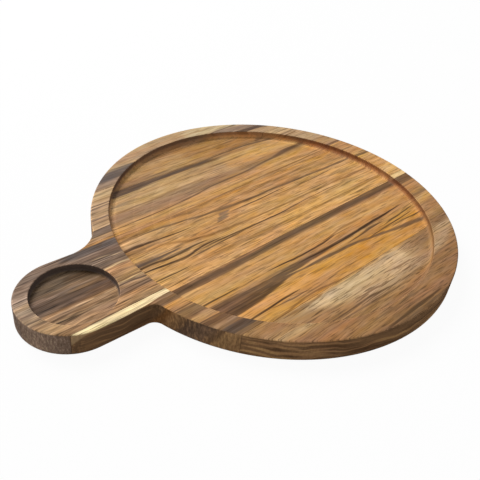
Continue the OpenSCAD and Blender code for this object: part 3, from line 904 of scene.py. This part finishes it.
STAVES["stave_near_edge"] = dict(
    USUAL,
    seed=2100.0,
    reach=(-156.0, -84.0),
    lean=1.2,
    broad=0.45,
    fine=0.5,
    hair=0.75,
    pores=0.65,
    vessel=0.35,
    edge=WARM_EDGE,
    edge_share=0.8,
    speckle=0.6,
    face=[(-156, "drab"), (-150, "drab"), (-140, "clay"), (-120, "clay"), (-112, "tan"), (-84, "tan")],
    face_lines=[
        ("sand", 0.5, 0.6, (-118, -107.5, 1.6), (-98, -110, 3.5), (-88, -111, 3), (-70, -110, 1.2)),
        ("clay", 0.6, 0.6, (-100, -119, 5), (-65, -128, 7), (-30, -136, 5)),
        ("orange", 0.22, 0.8, (-90, -125, 7), (-55, -132, 7), (-20, -140, 6)),
        ("biscuit", 0.9, 0.6, (60, -117, 3), (92, -105, 7), (122, -94, 4)),
        ("clay", 0.6, 0.6, (46, -127, 4), (80, -122, 5), (106, -116, 3)),
        ("drab", 0.8, 0.6, (80, -93, 2.6), (110, -93, 3.5), (136, -92, 2)),
        ("umber", 0.7, 0.5, (-54, -137, 0.4), (-20, -136, 0.7), (20, -137, 0.4)),
        ("umber", 0.7, 0.5, (-62, -143, 0.5), (-20, -142, 0.8), (32, -142, 0.5)),
        ("bark", 0.95, 0.5, (-40, -147, 0.5), (0, -146, 1.3), (32, -145.3, 0.6)),
        ("walnut", 0.8, 0.5, (-50, -150, 0.6), (10, -149, 0.9), (42, -147.6, 0.4)),
        ("clay", 0.5, 0.6, (26, -140, 2.6), (65, -130, 3), (90, -122, 1.8)),
    ],
    floor=[
        (-156, "clay"), (-134, "clay"), (-121, "tan"), (-114, "biscuit"), (-106, "sand"), (-100, "oat"),
        (-95, "oat"), (-92.4, "sand"), (-90.8, "honey"), (-84, "honey"),
    ],
    floor_lines=[
        ("tan", 0.95, 0.7, (-130, -100, 18), (-86, -102, 20), (-70, -105, 15), (-46, -112, 8),
         (-10, -116, 3)),
        ("copper", 0.7, 0.5, (-82, -92.4, 0.6), (-64, -93, 1.2), (-50, -92.2, 0.9), (-40, -91, 0.5)),
        ("sand", 0.5, 0.9, (0, -98, 12), (45, -98, 12), (90, -98, 12)),
        ("clay", 0.85, 0.8, (47, -100, 11), (84, -98, 16), (146, -95, 16)),
        ("drab", 0.6, 0.8, (64, -98, 4), (86, -96, 6), (120, -93, 5)),
        ("walnut", 0.9, 0.5, (-70, -114.4, 0.4), (-45, -115, 0.8), (-28, -115.2, 0.8), (-12, -115.6, 0.9),
         (0, -116.5, 0.8), (18, -118.8, 0.3)),
        ("umber", 0.85, 0.5, (-30, -110, 0.3), (-8, -111.5, 0.9), (6, -112.5, 0.7), (22, -113.6, 0.3)),
        ("umber", 0.7, 0.5, (-66, -118, 0.5), (-30, -119, 0.9), (0, -121, 0.8), (30, -122.5, 0.4)),
        ("umber", 0.6, 0.5, (-54, -124.4, 0.4), (-25, -122.5, 0.7), (-2, -124, 0.4)),
        ("drab", 0.8, 0.5, (14, -104.6, 0.3), (32, -107, 0.7), (42, -107.6, 0.7), (60, -108.8, 0.3)),
        ("drab", 0.6, 0.5, (28, -102.2, 0.3), (48, -103, 0.5), (68, -103, 0.3)),
        ("drab", 0.6, 0.5, (16, -111.6, 0.3), (45, -113, 0.6), (70, -111.6, 0.3)),
        ("drab", 0.5, 0.5, (-44, -100.4, 0.3), (-20, -101, 0.5), (2, -101.4, 0.3)),
        ("drab", 0.5, 0.5, (-34, -106.4, 0.3), (-10, -106.8, 0.5), (10, -107.6, 0.3)),
    ],
)


def dress(node, material):
    """Gives a node of the frame one material in all its slots."""
    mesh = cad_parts[node].data
    mesh.materials.clear()
    mesh.materials.append(material)


for name, stave in STAVES.items():
    dress(name, wood_material(name.replace("_", " ") + " wood", stave))
glue = glue_material()
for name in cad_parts:
    if name.startswith("glue_"):
        dress(name, glue)

# Floor and world, white to the camera and plain to the light
FLOOR_HALF = 4.0
FLOOR_DROP = 0.0001
FLOOR_WHITE = 0.95
FLOOR_GREY = 0.8
AMBIENT = 0.33
WHITE = (1.0, 1.0, 1.0, 1.0)


def seen_share(g):
    """1 for what the camera sees directly, in a mirror or through glass."""
    rays = g.node("ShaderNodeLightPath", {}).outputs
    share = g.math("MAXIMUM", rays["Is Camera Ray"], rays["Is Glossy Ray"])
    return g.math("MAXIMUM", share, rays["Is Transmission Ray"])


def floor_material():
    """Matt grey to the light, and almost white where it is seen."""
    g = Graph(bpy.data.materials.new("studio floor"))
    matt = g.node("ShaderNodeBsdfDiffuse", {"Color": (FLOOR_GREY, FLOOR_GREY, FLOOR_GREY, 1.0)})
    white = g.node("ShaderNodeEmission", {"Color": WHITE, "Strength": 1.0})
    share = g.times(seen_share(g), FLOOR_WHITE)
    return g.ended(g.node("ShaderNodeMixShader", {0: share, 1: matt.outputs[0], 2: white.outputs[0]}))


def studio_world():
    """White to the camera, and a plain soft light to all else."""
    g = Graph(bpy.data.worlds.new("studio"))
    seen = g.node("ShaderNodeLightPath", {}).outputs["Is Camera Ray"]
    strength = g.linear(seen, 1.0 - AMBIENT, AMBIENT)
    return g.ended(g.node("ShaderNodeBackground", {"Color": WHITE, "Strength": strength}), "World")


corners = [(-1, -1), (1, -1), (1, 1), (-1, 1)]
places = [(x * FLOOR_HALF, y * FLOOR_HALF, -FLOOR_DROP) for x, y in corners]
floor_mesh = bpy.data.meshes.new("floor")
floor_mesh.from_pydata(places, [], [(0, 1, 2, 3)])
floor_mesh.materials.append(floor_material())
floor = bpy.data.objects.new("floor", floor_mesh)
bpy.context.scene.collection.objects.link(floor)
bpy.context.scene.world = studio_world()

# The key stands behind the far side and above, so walls that face the camera lie in shade: metres and watts
KEY_PLACE = Vector((-0.35, 1.75, 1.95))
KEY_AIM = Vector((-0.03, 0.0, 0.0))
KEY_SIZE = 1.4
KEY_WATTS = 73.0

key_light = bpy.data.lights.new("key", "AREA")
key_light.shape = "SQUARE"
key_light.size = KEY_SIZE
key_light.energy = KEY_WATTS
key = bpy.data.objects.new("key", key_light)
key.location = KEY_PLACE
key.rotation_euler = (KEY_AIM - KEY_PLACE).to_track_quat("-Z", "Y").to_euler()
bpy.context.scene.collection.objects.link(key)

# Camera as fitted to the photo: angles in degrees, lengths in metres, lens and sensor in millimetres
CAMERA_AZIMUTH = math.radians(-44.5591)
CAMERA_ELEVATION = math.radians(37.1418)
CAMERA_ROLL = math.radians(7.1534)
CAMERA_TARGET = Vector((-0.036843, 0.000714, 0.0))
CAMERA_DISTANCE = 0.520894
CAMERA_LENS = 47.043
CAMERA_SENSOR = 36.0
CAMERA_CLIP = 0.01

back = Vector((
    math.sin(CAMERA_AZIMUTH) * math.cos(CAMERA_ELEVATION),
    -math.cos(CAMERA_AZIMUTH) * math.cos(CAMERA_ELEVATION),
    math.sin(CAMERA_ELEVATION),
))
level = (-back).cross(Vector((0.0, 0.0, 1.0))).normalized()
upward = level.cross(-back)
right = math.cos(CAMERA_ROLL) * level + math.sin(CAMERA_ROLL) * upward
up = math.cos(CAMERA_ROLL) * upward - math.sin(CAMERA_ROLL) * level
camera_data = bpy.data.cameras.new("photo camera")
camera_data.sensor_width = CAMERA_SENSOR
camera_data.lens = CAMERA_LENS
camera_data.clip_start = CAMERA_CLIP
camera = bpy.data.objects.new("photo camera", camera_data)
turn = Matrix((right, up, back)).transposed().to_4x4()
camera.matrix_world = Matrix.Translation(CAMERA_TARGET + back * CAMERA_DISTANCE) @ turn
bpy.context.scene.collection.objects.link(camera)
bpy.context.scene.camera = camera
bpy.context.scene.view_settings.view_transform = "Standard"
